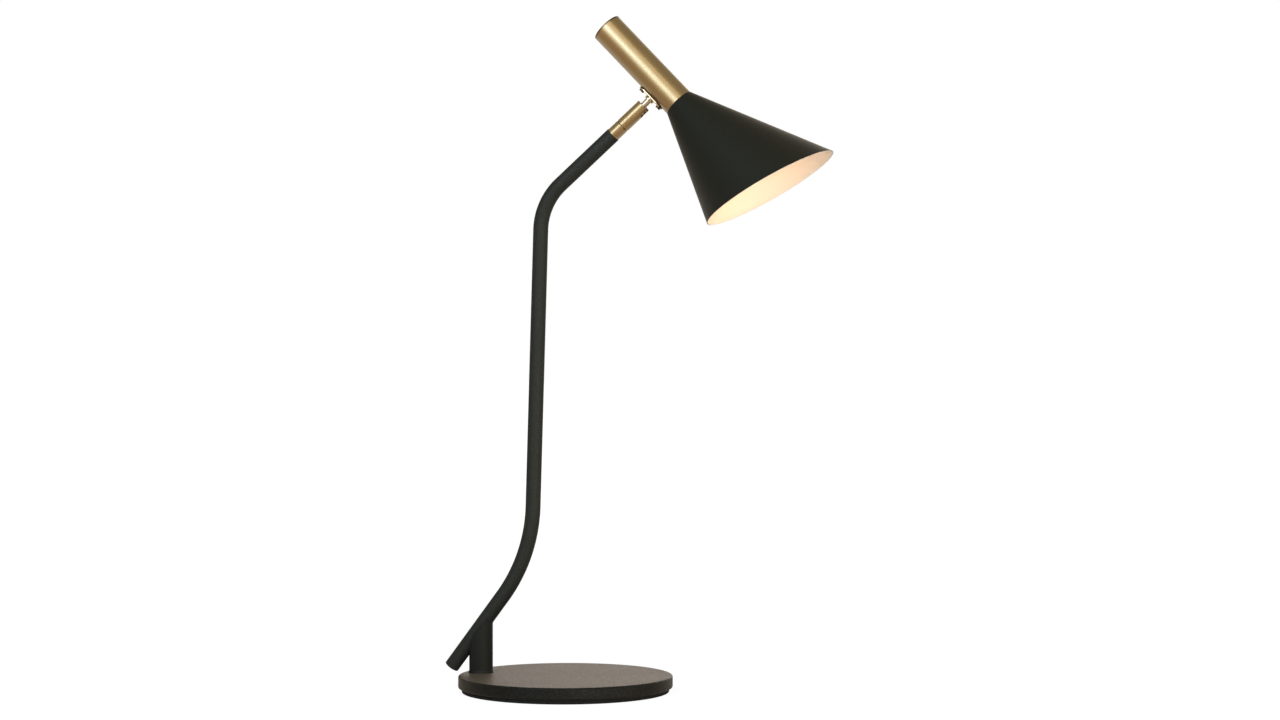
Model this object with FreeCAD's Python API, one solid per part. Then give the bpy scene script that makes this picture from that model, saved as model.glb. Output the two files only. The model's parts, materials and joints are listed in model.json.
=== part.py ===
import FreeCAD, Part
import math
import os

# A table lamp: a round weighted base, a bent arm standing on a short mitred post, a slotted ball
# swivel at the arm's top end, and a brass tube head that carries a conical shade with a slanted mouth.
# Lengths are millimetres and angles are degrees. +Z is up, +X points from the arm to the shade, and
# the origin is the middle of the pad's underside. The lamp is symmetric about the plane y = 0.

# Base plate and its pad
base_d = 180.0
base_t = 10.0
base_edge_r = 1.3
pad_t = 3.6
pad_inset = 3.0
pad_edge_r = 0.6

# Post and the bolt that holds it to the base from below
post_d = 20.0
post_setback = 15.4
post_flare = 0.7
post_flare_h = 2.2
saddle_sink = 1.6
weld_gap = 0.02
bolt_d = 8.0
bolt_head_d = 13.0
bolt_head_h = 4.4
bolt_key_d = 5.0
bolt_key_depth = 2.6
bolt_grip = 14.0
bolt_hole_gap = 0.3
bolt_hole_spare = 3.0
washer_d = 16.0
washer_t = 1.4
recess_gap = 0.8
recess_spare = 0.5

# Arm tube: three straight runs, measured from corner to corner, and two bends
arm_d = 12.7
arm_wall = 1.2
arm_cross_h = 52.8
arm_tail = 43.8
arm_lower_run = 74.8
arm_middle_run = 297.9
arm_upper_run = 84.1
arm_lower_angle = 36.83
arm_middle_angle = 1.66
arm_upper_angle = 48.29
arm_lower_bend_r = 134.0
arm_upper_bend_r = 52.7

# Bush in the arm's lower end, where a cord would come in
bush_flange_t = 1.4
bush_edge_r = 0.6
bush_plug_len = 9.0
bush_bore_d = 6.4

# Ferrule at the arm's top end, and the threaded insert that holds it
ferrule_d = 12.0
ferrule_len = 10.6
ferrule_edge = 0.3
ferrule_thread_d = 8.0
ferrule_thread_len = 9.0
insert_len = 12.0
wire_bore_d = 5.0
fit_gap = 0.05

# Turning collar with its slot
collar_d = 12.1
collar_len = 24.55
collar_lip = 5.4
collar_edge = 0.35
collar_groove = 0.25
collar_wall = 1.27
journal_step = 0.88
journal_gap = 0.06
journal_tip = 1.6
tip_gap = 0.35
snap_t = 0.8
snap_gap = 0.1
snap_depth = 0.5
snap_mouth_angle = 70.0
slot_gap = 0.25
mouth_gap = 0.45
stop_pin_d = 0.8
stop_pin_h = 0.9
stop_gap = 0.1
stop_land_angle = 9.6

# Ball, its stem, and the seat and spring that press it into the collar
ball_gap = 0.08
stem_d = 5.7
stem_bore_d = 3.4
stem_show = 5.67
rest_back_angle = 2.12
seat_drop = 2.2
seat_h = 4.0
seat_bore_d = 5.2
spring_t = 0.4
spring_h = 1.5
spring_bore_d = 5.6
retainer_t = 1.8

# Fixings between the stem and the head tube
ring_d = 8.5
ring_t = 2.1
ring_edge = 0.35
plate_len = 26.3
plate_w = 12.0
plate_t = 1.5
plate_screw_inset = 3.15
screw_d = 3.0
screw_head_d = 4.4
screw_head_h = 1.3
screw_slot_w = 0.8
screw_slot_depth = 0.6
screw_tip = 1.4
hole_gap = 0.1
stem_nut_flats = 7.6
stem_nut_t = 2.4
stem_tip = 0.8

# Head tube and its end cap
head_d = 26.6
head_wall = 1.2
head_len = 89.8
stem_back = 20.1
cap_t = 1.4
cap_edge_r = 0.4
cap_plug_len = 5.0
cap_plug_wall = 1.2

# Shade
shade_half_angle = 22.95
shade_wall = 0.9
mouth_run = 103.66
mouth_angle = 13.96
sleeve_len = 5.5

# Bracket, nipple and nut that carry the lampholder and clamp the shade
strip_w = 12.0
strip_t = 1.2
strip_end = 5.0
foot_t = 1.5
foot_gap = 0.25
nipple_d = 10.0
nipple_bore_d = 7.4
nipple_above = 0.8
nipple_below = 5.6
nipple_nut_flats = 13.0
nipple_nut_t = 2.2

# Lampholder
holder_gap = 0.65
holder_cap_len = 12.0
holder_wall = 1.6
holder_back_t = 2.6
holder_lap = 3.5
holder_room = 2.05
holder_skirt_len = 24.0
holder_rib_step = 1.0
holder_rib_t = 2.4
holder_floor_t = 2.5
socket_gap = 0.1
socket_wall = 0.5
socket_len = 17.0
contact_w = 4.0
contact_t = 0.5
contact_rise = 1.6
contact_reach = 4.6

# Bulb
bulb_len = 72.0
bulb_d = 45.0
bulb_wall = 0.9
bulb_cap_d = 13.9
bulb_cap_len = 17.0
bulb_cap_wall = 0.4
bulb_tip_d = 5.0
bulb_tip_h = 1.1
bulb_insulator_h = 2.6
bulb_insulator_d = 10.6
bulb_insert_len = 7.0
bulb_shoulder_d = 18.0
bulb_shoulder_len = 6.0

# One overrun past a face serves every cut
overrun = 2.0

X_AXIS = FreeCAD.Vector(1, 0, 0)
Y_AXIS = FreeCAD.Vector(0, 1, 0)
Z_AXIS = FreeCAD.Vector(0, 0, 1)
ORIGIN = FreeCAD.Vector(0, 0, 0)

# Radii and heights that follow from the sizes above
base_top = pad_t + base_t
post_x = post_setback - base_d / 2
arm_r = arm_d / 2
arm_bore_r = arm_r - arm_wall
chamber_r = collar_d / 2 - collar_wall
ball_r = chamber_r - ball_gap
journal_r = chamber_r - journal_step
stop_circle_r = (journal_r + collar_d / 2) / 2
seat_stack = seat_drop + seat_h + spring_h + retainer_t
journal_run = collar_len - collar_lip - seat_stack - tip_gap - journal_tip - snap_t - snap_gap
stem_r = stem_d / 2
slot_r = stem_r + slot_gap
head_r = head_d / 2
head_bore_r = head_r - head_wall
plate_r = head_r + plate_t
strip_bore_r = head_bore_r - strip_t
reach = collar_lip + stem_show + ring_t + plate_r
stem_place = head_len - stem_back
mouth_place = head_len + mouth_run
sleeve_r = head_bore_r - fit_gap
sleeve_bore_r = sleeve_r - shade_wall
sleeve_top = head_len - sleeve_len
socket_bore_r = bulb_cap_d / 2 + socket_gap
holder_cap_r = sleeve_bore_r - holder_gap
holder_skirt_r = socket_bore_r + 2 * socket_wall + holder_room + holder_wall
holder_back = sleeve_top + shade_wall
holder_joint = holder_back + holder_cap_len
holder_floor = holder_joint + holder_floor_t
bulb_tip = holder_floor + contact_rise + contact_t + fit_gap
cap_rim = bulb_tip + bulb_tip_h + bulb_insulator_h + bulb_cap_len


def vec(x, z, y=0.0):
    return FreeCAD.Vector(x, y, z)


def leaning(point, lean):
    """A frame at a point whose +Z leans from the vertical towards +X and whose +Y stays +Y."""
    return FreeCAD.Placement(point, FreeCAD.Rotation(Y_AXIS, lean))


def direction(lean):
    return vec(math.sin(math.radians(lean)), math.cos(math.radians(lean)))


def placed(shape, frame):
    moved = shape.copy()
    moved.Placement = frame.multiply(shape.Placement)
    return moved


def rod(radius, low, high):
    """A round bar on the Z axis between two heights."""
    return Part.makeCylinder(radius, high - low, vec(0, low))


def ring(outer, inner, low, high):
    return rod(outer, low, high).cut(rod(inner, low - overrun, high + overrun))


def turned(outline):
    """The solid of revolution about Z of an outline given as (radius, height) points."""
    points = [vec(r, h) for r, h in outline]
    face = Part.Face(Part.makePolygon(points + [points[0]]))
    return face.revolve(ORIGIN, Z_AXIS, 360)


def block(x, y, z):
    """A box between pairs of limits along each axis."""
    return Part.makeBox(x[1] - x[0], y[1] - y[0], z[1] - z[0], FreeCAD.Vector(x[0], y[0], z[0]))


def hexagon(flats, low, high):
    """A hexagonal bar on the Z axis, given across its flats."""
    corner = flats / math.sqrt(3)
    turns = [math.radians(60 * k) for k in range(7)]
    wire = Part.makePolygon([vec(corner * math.cos(t), low, corner * math.sin(t)) for t in turns])
    return Part.Face(wire).extrude(vec(0, high - low))


def circle_edges(shape, radius, height):
    """The full circles about the Z axis that have this radius and height."""
    near = 1e-3 * radius
    found = []
    for edge in shape.Edges:
        curve = edge.Curve
        if not isinstance(curve, Part.Circle):
            continue
        if abs(curve.Radius - radius) < near and abs(curve.Center.z - height) < near:
            found.append(edge)
    return found


def rounded(shape, size, radius, height):
    return shape.makeFillet(size, circle_edges(shape, radius, height))


def bevelled(shape, size, radius, height):
    return shape.makeChamfer(size, circle_edges(shape, radius, height))


# The arm's corners in the plane y = 0, and the frames of what the arm carries

arm_cross = vec(post_x, arm_cross_h)
arm_foot = arm_cross - direction(arm_lower_angle) * arm_tail
arm_low_corner = arm_cross + direction(arm_lower_angle) * arm_lower_run
arm_high_corner = arm_low_corner + direction(arm_middle_angle) * arm_middle_run
arm_top = arm_high_corner + direction(arm_upper_angle) * arm_upper_run
ball_rise = ferrule_len + collar_groove + collar_len - collar_lip
ball_centre = arm_top + direction(arm_upper_angle) * ball_rise
stem_lean = arm_upper_angle - rest_back_angle
head_lean = stem_lean + 90
stem_crossing = ball_centre + direction(stem_lean) * reach
head_start = stem_crossing - direction(head_lean) * stem_place

tail_frame = leaning(arm_foot, arm_lower_angle)
cross_frame = leaning(arm_cross, arm_lower_angle)
top_frame = leaning(arm_top, arm_upper_angle)
collar_frame = leaning(ball_centre, arm_upper_angle)
stem_frame = leaning(ball_centre, stem_lean)
head_frame = leaning(head_start, head_lean)


def base_disc():
    """A steel disc with rounded rims, counterbored from below for the post's bolt."""
    disc = rod(base_d / 2, pad_t, base_top)
    disc = rounded(disc, base_edge_r, base_d / 2, base_top)
    disc = rounded(disc, base_edge_r, base_d / 2, pad_t)
    recess = rod(washer_d / 2 + recess_gap, 0, pad_t + recess_depth())
    hole = rod(bolt_d / 2 + bolt_hole_gap, 0, base_top + overrun)
    cutter = recess.fuse(hole)
    cutter.translate(vec(post_x, 0))
    return disc.cut(cutter)


def recess_depth():
    return bolt_head_h + washer_t + recess_spare


def base_pad():
    """A soft disc under the base, a little smaller than it."""
    pad_r = base_d / 2 - pad_inset
    pad = rod(pad_r, 0, pad_t)
    return rounded(pad, pad_edge_r, pad_r, 0)


def post():
    """A round bar, flared at its foot, mitred along the arm and grooved to seat it."""
    post_r = post_d / 2
    post_h = arm_cross_h + post_d / math.tan(math.radians(arm_lower_angle)) - base_top
    profile = [(0, 0), (post_r + post_flare, 0), (post_r, post_flare_h), (post_r, post_h), (0, post_h)]
    bar = turned(profile)
    bar = bar.cut(rod(bolt_d / 2, -overrun, bolt_grip + bolt_hole_spare))
    bar.translate(vec(post_x, base_top))
    far = arm_tail + post_h
    above = block((-far, saddle_sink), (-post_d, post_d), (-far, far))
    groove = rod(arm_r + weld_gap, -far, far)
    return bar.cut(placed(above.fuse(groove), cross_frame))


def post_bolt():
    """A socket-head bolt up through the base into the post."""
    under = pad_t + recess_depth() - washer_t
    head = rod(bolt_head_d / 2, under - bolt_head_h, under)
    head = head.cut(hexagon(bolt_key_d, under - bolt_head_h - overrun, under - bolt_head_h + bolt_key_depth))
    shank = rod(bolt_d / 2, under, base_top + bolt_grip)
    bolt = head.fuse(shank)
    bolt.translate(vec(post_x, 0))
    return bolt


def post_washer():
    top = pad_t + recess_depth()
    washer = ring(washer_d / 2, bolt_d / 2 + bolt_hole_gap, top - washer_t, top)
    washer.translate(vec(post_x, 0))
    return washer


def bend(corner, lean_in, lean_out, radius):
    """The arc that rounds a corner: its first, middle and last point."""
    half = math.radians(lean_out - lean_in) / 2
    setback = radius * math.tan(abs(half))
    outward = radius / math.cos(half) - radius
    inward = direction(lean_out) - direction(lean_in)
    inward.normalize()
    first = corner - direction(lean_in) * setback
    last = corner + direction(lean_out) * setback
    return first, corner + inward * outward, last


def arm_rod(radius, low, high):
    """A round bar along the arm's bent centreline, between two distances past its ends."""
    first, first_mid, first_end = bend(arm_low_corner, arm_lower_angle, arm_middle_angle, arm_lower_bend_r)
    second, second_mid, second_end = bend(arm_high_corner, arm_middle_angle, arm_upper_angle, arm_upper_bend_r)
    start = arm_foot + direction(arm_lower_angle) * low
    end = arm_top + direction(arm_upper_angle) * high
    edges = [
        Part.LineSegment(start, first).toShape(),
        Part.Arc(first, first_mid, first_end).toShape(),
        Part.LineSegment(first_end, second).toShape(),
        Part.Arc(second, second_mid, second_end).toShape(),
        Part.LineSegment(second_end, end).toShape(),
    ]
    circle = Part.makeCircle(radius, start, direction(arm_lower_angle))
    return Part.Wire(edges).makePipeShell([Part.Wire(circle)], True, False)


def arm_tube():
    """A round tube with an open lower end and an open top end."""
    return arm_rod(arm_r, bush_flange_t, 0).cut(arm_rod(arm_bore_r, bush_flange_t - overrun, overrun))


def arm_end_bush():
    """A flanged bush that closes the tube's lower end around the cord's way in."""
    flange = rod(arm_r, 0, bush_flange_t)
    flange = rounded(flange, bush_edge_r, arm_r, 0)
    plug = rod(arm_bore_r - fit_gap, 0, bush_flange_t + bush_plug_len)
    bore = rod(bush_bore_d / 2, -overrun, bush_flange_t + bush_plug_len + overrun)
    return placed(flange.fuse(plug).cut(bore), tail_frame)


def arm_insert():
    """A threaded ring fixed inside the tube's top end."""
    return placed(ring(arm_bore_r, ferrule_thread_d / 2, -insert_len, 0), top_frame)


def arm_ferrule():
    """The fixed end piece: a thread below, a sleeve, and a grooved journal for the collar above."""
    body = bevelled(rod(ferrule_d / 2, 0, ferrule_len), ferrule_edge, ferrule_d / 2, ferrule_len)
    thread = rod(ferrule_thread_d / 2, -ferrule_thread_len, 0)
    shoulder = ferrule_len + collar_groove + journal_run
    tip = shoulder + snap_gap + snap_t + journal_tip
    journal = rod(journal_r, ferrule_len, tip)
    groove = ring(2 * journal_r, journal_r - snap_depth, shoulder + snap_gap, shoulder + snap_gap + snap_t)
    bore = rod(wire_bore_d / 2, -ferrule_thread_len - overrun, tip + overrun)
    pin_hole = rod(stop_pin_d / 2, ferrule_len - stop_pin_h, ferrule_len + overrun)
    pin_hole.translate(vec(-stop_circle_r, 0))
    solid = body.fuse([thread, journal]).cut([groove, bore, pin_hole])
    return placed(solid, top_frame)


def turn_stop_pin():
    """A short pin in the ferrule's shoulder that stops the collar after most of a turn."""
    pin = rod(stop_pin_d / 2, ferrule_len - stop_pin_h, ferrule_len + collar_groove + stop_pin_h)
    pin.translate(vec(-stop_circle_r, 0))
    return placed(pin, top_frame)


def collar_snap_ring():
    """An open spring ring in the journal's groove, which keeps the collar on."""
    low = ferrule_len + collar_groove + journal_run + snap_gap
    clip = ring(chamber_r - journal_gap, journal_r - snap_depth, low, low + snap_t)
    half = math.radians(snap_mouth_angle / 2)
    tip = 2 * chamber_r
    wide = tip * math.tan(half)
    outline = [vec(0, low - overrun), vec(tip, low - overrun, wide), vec(tip, low - overrun, -wide)]
    wedge = Part.Face(Part.makePolygon(outline + [outline[0]])).extrude(vec(0, snap_t + 2 * overrun))
    return placed(clip.cut(wedge), top_frame)


def swivel_collar():
    """The turning collar: a journal bore, a chamber domed over the ball, and a side slot for the stem."""
    low = collar_lip - collar_len
    shoulder = low + journal_run
    body = rod(collar_d / 2, low, collar_lip)
    body = bevelled(body, collar_edge, collar_d / 2, collar_lip)
    body = bevelled(body, collar_edge, collar_d / 2, low)
    bore = rod(journal_r + journal_gap, low - overrun, shoulder + overrun)
    chamber = rod(chamber_r, shoulder, 0).fuse(Part.makeSphere(chamber_r))
    mouth = rod(stem_r + mouth_gap, 0, collar_lip + overrun)
    slot = block((0, collar_d), (-slot_r, slot_r), (0, collar_lip + overrun))
    slot_end = Part.makeCylinder(slot_r, collar_d, ORIGIN, X_AXIS)
    pin_r = stop_pin_d / 2 + stop_gap
    track = ring(stop_circle_r + pin_r, stop_circle_r - pin_r, low - overrun, low + stop_pin_h + stop_gap)
    reach_out = collar_d
    wide = reach_out * math.tan(math.radians(stop_land_angle))
    land = [vec(0, low - 2 * overrun), vec(reach_out, low - 2 * overrun, wide)]
    land.append(vec(reach_out, low - 2 * overrun, -wide))
    stop = Part.Face(Part.makePolygon(land + [land[0]])).extrude(vec(0, 4 * overrun + stop_pin_h))
    return placed(body.cut([bore, chamber, mouth, slot, slot_end, track.cut(stop)]), collar_frame)


def ball_seat():
    """A cup that presses on the ball's underside."""
    cup = ring(chamber_r, seat_bore_d / 2, -seat_drop - seat_h, -seat_drop)
    return placed(cup.cut(Part.makeSphere(chamber_r)), collar_frame)


def ball_spring():
    """A conical spring washer under the seat."""
    top = -seat_drop - seat_h
    outer = chamber_r - fit_gap
    fall = spring_h - spring_t
    bore = spring_bore_d / 2
    outline = [(bore, top), (outer, top - fall), (outer, top - fall - spring_t), (bore, top - spring_t)]
    return placed(turned(outline), collar_frame)


def spring_retainer():
    """A threaded ring that holds the spring up in the collar."""
    top = -seat_drop - seat_h - spring_h
    return placed(ring(chamber_r, seat_bore_d / 2, top - retainer_t, top), collar_frame)


def swivel_ball():
    """The ball and its hollow threaded stem, which ends inside the head tube."""
    end = reach - stem_nut_seat() + stem_nut_t + stem_tip
    solid = Part.makeSphere(ball_r).fuse(rod(stem_r, 0, end))
    flare = turned([(0, -2 * ball_r), (wire_bore_d / 2, -ball_r), (0, 0)])
    return placed(solid.cut([rod(stem_bore_d / 2, -2 * ball_r, end + overrun), flare]), stem_frame)


def stem_ring():
    """A round nut on the stem, against the saddle plate."""
    low = collar_lip + stem_show
    nut = ring(ring_d / 2, stem_r, low, low + ring_t)
    for height in (low, low + ring_t):
        nut = bevelled(nut, ring_edge, ring_d / 2, height)
    return placed(nut, stem_frame)


def stem_nut_seat():
    """How far from the head's axis the inner nut's face lies when its flats meet the curved strip."""
    return math.sqrt(strip_bore_r ** 2 - (stem_nut_flats / 2) ** 2) - fit_gap


def stem_nut():
    """A hexagonal nut on the stem inside the head tube."""
    low = reach - stem_nut_seat()
    nut = hexagon(stem_nut_flats, low, low + stem_nut_t)
    return placed(nut.cut(rod(stem_r, low - overrun, low + stem_nut_t + overrun)), stem_frame)


def across(radius, place, near, far):
    """A bar that crosses the head's wall on the arm's side, at a place along the head's axis."""
    return Part.makeCylinder(radius, far - near, vec(near, place), X_AXIS)


def screw_places():
    half_span = plate_len / 2 - plate_screw_inset
    return [stem_place - half_span, stem_place + half_span]


def saddle_plate():
    """An oval plate, rolled to hug the head tube, with a hole for the stem and one for each screw."""
    shell = ring(plate_r, head_r, stem_place - plate_len, stem_place + plate_len)
    straight = (plate_len - plate_w) / 2
    body = block((0, head_d), (-plate_w / 2, plate_w / 2), (stem_place - straight, stem_place + straight))
    ends = [across(plate_w / 2, stem_place + side * straight, 0, head_d) for side in (-1, 1)]
    plate = shell.common(body.fuse(ends))
    holes = [across(stem_r + hole_gap, stem_place, 0, head_d)]
    holes += [across(screw_d / 2 + hole_gap, place, 0, head_d) for place in screw_places()]
    return placed(plate.cut(holes), head_frame)


def saddle_screws():
    """Two slotted screws through the plate and the tube into the bracket."""
    screws = []
    for place in screw_places():
        shank = across(screw_d / 2, place, strip_bore_r - screw_tip, plate_r)
        head = across(screw_head_d / 2, place, plate_r, plate_r + screw_head_h)
        outer = plate_r + screw_head_h
        slot = block(
            (outer - screw_slot_depth, outer + overrun),
            (-screw_head_d, screw_head_d),
            (place - screw_slot_w / 2, place + screw_slot_w / 2),
        )
        screws.append(shank.fuse(head).cut(slot))
    return placed(Part.makeCompound(screws), head_frame)


def head_tube():
    """A thin tube with a hole for the stem and one for each screw."""
    tube = ring(head_r, head_bore_r, cap_t, head_len)
    holes = [across(stem_r + hole_gap, stem_place, 0, head_d)]
    holes += [across(screw_d / 2 + hole_gap, place, 0, head_d) for place in screw_places()]
    return placed(tube.cut(holes), head_frame)


def tube_cap():
    """A cap with a hollow plug that closes the tube's top end."""
    cap = rounded(rod(head_r, 0, cap_t), cap_edge_r, head_r, 0)
    plug = ring(sleeve_r, sleeve_r - cap_plug_wall, cap_t, cap_t + cap_plug_len)
    return placed(cap.fuse(plug), head_frame)


def cone_radius(place):
    """The shade's outer radius at a place along the head's axis."""
    return head_r + (place - head_len) * math.tan(math.radians(shade_half_angle))


def mouth_cutter():
    """Everything beyond the slanted plane of the shade's mouth."""
    far = 4 * cone_radius(mouth_place)
    beyond = block((-far, far), (-far, far), (0, far))
    return placed(beyond, leaning(vec(0, mouth_place), mouth_angle))


def shade():
    """A spun cone cut obliquely at its mouth, with a flanged sleeve at its neck that fits the tube."""
    skin = shade_wall / math.cos(math.radians(shade_half_angle))
    end = mouth_place + cone_radius(mouth_place)
    step = head_len + shade_wall
    outline = [
        (sleeve_r, sleeve_top),
        (sleeve_r, head_len),
        (head_r, head_len),
        (cone_radius(end), end),
        (cone_radius(end) - skin, end),
        (cone_radius(step) - skin, step),
        (sleeve_bore_r, step),
        (sleeve_bore_r, holder_back),
        (nipple_d / 2 + hole_gap, holder_back),
        (nipple_d / 2 + hole_gap, sleeve_top),
    ]
    return placed(turned(outline).cut(mouth_cutter()), head_frame)


def holder_bracket():
    """A strip along the tube's inside and a round foot across it, which carries the lampholder."""
    first, last = screw_places()
    foot_low = sleeve_top - foot_t
    shell = ring(head_bore_r, strip_bore_r, first - strip_end, sleeve_top)
    strip = shell.common(block((0, head_d), (-strip_w / 2, strip_w / 2), (0, sleeve_top)))
    foot = rod(head_bore_r - foot_gap, foot_low, sleeve_top)
    holes = [across(stem_r + hole_gap, stem_place, 0, head_d)]
    holes += [across(screw_d / 2, place, 0, head_d) for place in (first, last)]
    holes.append(rod(nipple_d / 2 + hole_gap, foot_low - overrun, sleeve_top + overrun))
    return placed(strip.fuse(foot).cut(holes), head_frame)


def holder_nipple():
    """A hollow threaded rod through the bracket's foot and the shade's flange."""
    low = sleeve_top - foot_t - nipple_nut_t - nipple_above
    nipple = ring(nipple_d / 2, nipple_bore_d / 2, low, holder_back + nipple_below)
    return placed(nipple, head_frame)


def nipple_nut():
    high = sleeve_top - foot_t
    nut = hexagon(nipple_nut_flats, high - nipple_nut_t, high)
    nut = nut.cut(rod(nipple_d / 2, high - nipple_nut_t - overrun, high + overrun))
    return placed(nut, head_frame)


def lampholder_cap():
    """The lampholder's cup-shaped back, which screws on the nipple and clamps the shade's flange."""
    cup = rod(holder_cap_r, holder_back, holder_joint)
    cup = bevelled(cup, holder_wall / 2, holder_cap_r, holder_back)
    hollow = rod(holder_cap_r - holder_wall, holder_back + holder_back_t, holder_joint + overrun)
    thread = rod(nipple_d / 2, holder_back - overrun, holder_back + holder_back_t + overrun)
    return placed(cup.cut([hollow, thread]), head_frame)


def lampholder_skirt():
    """The lampholder's front: a lap inside the cap, a floor, a wall and a ring rib round the wall."""
    lap_r = holder_cap_r - holder_wall - fit_gap
    high = holder_joint + holder_skirt_len
    rib_low = high - 3 * holder_rib_t
    solid = bevelled(rod(holder_skirt_r, holder_joint, high), holder_wall / 2, holder_skirt_r, high)
    solid = bevelled(solid, holder_wall / 2, holder_skirt_r, holder_joint)
    solid = solid.fuse(rod(holder_skirt_r + holder_rib_step, rib_low, rib_low + holder_rib_t))
    solid = solid.fuse(rod(lap_r, holder_joint - holder_lap, holder_joint))
    back_hollow = rod(lap_r - holder_wall, holder_joint - holder_lap - overrun, holder_joint)
    front_hollow = rod(holder_skirt_r - holder_wall, holder_floor, high + overrun)
    wire_holes = []
    for side in (-1, 1):
        hole = rod(holder_wall, holder_joint - overrun, holder_floor + overrun)
        hole.translate(FreeCAD.Vector(0, side * (contact_w / 2 + 2 * holder_wall), 0))
        wire_holes.append(hole)
    return placed(solid.cut([back_hollow, front_hollow] + wire_holes), head_frame)


def socket_shell():
    """The thin metal sleeve that the bulb screws into, with a turned-out foot on the floor."""
    outer = socket_bore_r + socket_wall
    sleeve = ring(outer, socket_bore_r, holder_floor, holder_floor + socket_len)
    flange = ring(outer + socket_wall, socket_bore_r, holder_floor, holder_floor + socket_wall)
    return placed(sleeve.fuse(flange), head_frame)


def socket_contact():
    """A bent spring tongue under the bulb's tip."""
    half = contact_reach / 2
    top = holder_floor + contact_rise
    outline = [
        (half, holder_floor),
        (half, holder_floor + contact_t),
        (half / 2, top + contact_t),
        (-half, top + contact_t),
        (-half, top),
        (half / 2 - contact_t, top),
        (half - 2 * contact_t, holder_floor + contact_t),
        (-half, holder_floor + contact_t),
        (-half, holder_floor),
    ]
    points = [vec(x, z, -contact_w / 2) for x, z in outline]
    face = Part.Face(Part.makePolygon(points + [points[0]]))
    return placed(face.extrude(Y_AXIS * contact_w), head_frame)


def bulb_contact():
    """The bulb's solder tip and the insulator round it."""
    tip = rod(bulb_tip_d / 2, bulb_tip, bulb_tip + bulb_tip_h)
    low = bulb_tip + bulb_tip_h
    high = low + bulb_insulator_h
    cap_bore = bulb_cap_d / 2 - bulb_cap_wall
    cone = turned([(0, low), (bulb_tip_d / 2, low), (bulb_insulator_d / 2, high), (cap_bore, high),
                   (cap_bore, high + bulb_cap_wall), (0, high + bulb_cap_wall)])
    return placed(tip.fuse(cone), head_frame)


def bulb_cap():
    """The bulb's metal screw cap."""
    low = cap_rim - bulb_cap_len
    outer = bulb_cap_d / 2
    return placed(ring(outer, outer - bulb_cap_wall, low, cap_rim), head_frame)


def bulb_profile(inset, start):
    """The outline of the bulb's glass, drawn inwards by an inset, as edges from its start to its tip."""
    globe_r = bulb_d / 2
    centre = bulb_tip + bulb_len - globe_r
    neck = bulb_cap_d / 2 - bulb_cap_wall - fit_gap - inset
    shoulder = bulb_shoulder_d / 2 - inset
    shoulder_at = cap_rim + bulb_shoulder_len
    run = centre - shoulder_at
    side = globe_r - inset
    # The straight flank leaves the shoulder and meets the globe as a tangent.
    span = math.hypot(run, shoulder)
    turn = math.asin(side / span) - math.atan2(shoulder, run)
    touch = vec(side * math.cos(turn), centre - side * math.sin(turn))
    middle_turn = (math.pi / 2 - turn) / 2
    middle = vec(side * math.cos(middle_turn), centre + side * math.sin(middle_turn))
    tip = vec(0, centre + side)
    points = [vec(neck, start), vec(neck, cap_rim), vec(shoulder, shoulder_at), touch]
    edges = [Part.LineSegment(a, b).toShape() for a, b in zip(points, points[1:])]
    edges.append(Part.Arc(touch, middle, tip).toShape())
    return edges, vec(neck, start), tip


def bulb_solid(inset, start):
    edges, first, tip = bulb_profile(inset, start)
    foot = vec(0, start)
    edges.append(Part.LineSegment(tip, foot).toShape())
    edges.append(Part.LineSegment(foot, first).toShape())
    return Part.Face(Part.Wire(edges)).revolve(ORIGIN, Z_AXIS, 360)


def bulb_glass():
    """A round bulb's thin glass, open where its neck goes into the cap."""
    start = cap_rim - bulb_insert_len
    return placed(bulb_solid(0, start).cut(bulb_solid(bulb_wall, start - overrun)), head_frame)


SUB_PARTS = [
    base_disc, base_pad, post, post_bolt, post_washer, arm_tube, arm_end_bush, arm_insert,
    arm_ferrule, turn_stop_pin, collar_snap_ring, swivel_collar, ball_seat, ball_spring,
    spring_retainer, swivel_ball, stem_ring, stem_nut, saddle_plate, saddle_screws, head_tube,
    tube_cap, shade, holder_bracket, holder_nipple, nipple_nut, lampholder_cap, lampholder_skirt,
    socket_shell, socket_contact, bulb_contact, bulb_cap, bulb_glass,
]

os.makedirs("parts", exist_ok=True)
for make in SUB_PARTS:
    shape = make()
    shape.exportStep("parts/" + make.__name__ + ".step")
    print(make.__name__, "solids", len(shape.Solids), "volume", round(shape.Volume, 2), shape.isValid())
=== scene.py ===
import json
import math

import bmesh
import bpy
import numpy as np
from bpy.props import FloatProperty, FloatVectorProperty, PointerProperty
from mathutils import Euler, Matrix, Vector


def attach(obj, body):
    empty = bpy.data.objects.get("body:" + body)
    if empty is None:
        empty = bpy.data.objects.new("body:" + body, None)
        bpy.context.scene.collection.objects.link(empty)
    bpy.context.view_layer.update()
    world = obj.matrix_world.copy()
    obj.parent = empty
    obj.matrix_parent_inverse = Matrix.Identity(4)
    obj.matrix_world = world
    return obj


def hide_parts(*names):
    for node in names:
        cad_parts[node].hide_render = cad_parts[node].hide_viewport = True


bl_info = {
    "name": "Table lamp",
    "version": (1, 0, 0),
    "blender": (4, 5, 0),
    "location": "3D View > Sidebar > Lamp",
    "description": "Builds the looks of a table lamp around its packed CAD model",
    "category": "Object",
}

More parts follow.
